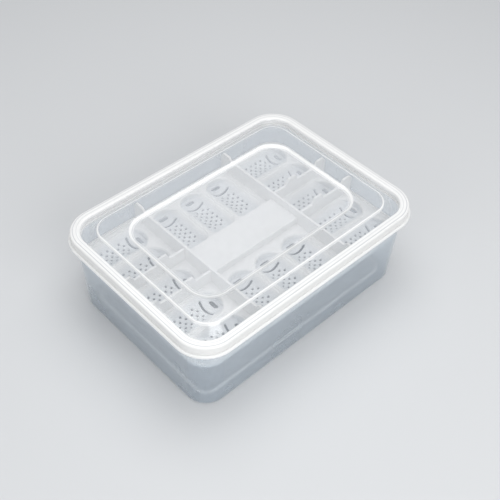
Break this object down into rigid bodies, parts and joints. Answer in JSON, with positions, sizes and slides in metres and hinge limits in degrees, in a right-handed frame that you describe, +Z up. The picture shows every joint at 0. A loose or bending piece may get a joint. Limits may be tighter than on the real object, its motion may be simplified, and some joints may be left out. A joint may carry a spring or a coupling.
{
  "type": "reptile breeding box",
  "caption": "Translucent plastic box with a stepped press-on lid and a lift-out vented tray of egg cradles divided by ridges, for hatching reptile eggs",
  "frame": {"origin": "bottom centre of the bounding box, on the surface the box stands on", "axes": "+Z up, +X along the long side, +Y along the short side"},
  "size_m": [0.2844, 0.2082, 0.095],
  "materials": {
    "tub_plastic": "satin translucent",
    "lid_plastic": "gloss translucent",
    "tray_plastic": "satin milky"
  },
  "bodies": {
    "tub_body": {"box_tub": "tub_plastic"},
    "lid_body": {"lid": "lid_plastic"},
    "tray_body": {"egg_tray": "tray_plastic"}
  },
  "joints": [
    {"name": "lid_lift", "type": "slide", "parent": "tub_body", "child": "lid_body", "axis": [0, 0, 1], "range_m": [0, 0.12]},
    {"name": "tray_lift", "type": "slide", "parent": "tub_body", "child": "tray_body", "axis": [0, 0, 1], "range_m": [0, 0.054]}
  ],
  "couplings": [
    {"joint": "tray_lift", "follows": "lid_lift", "ratio": 0.45}
  ]
}
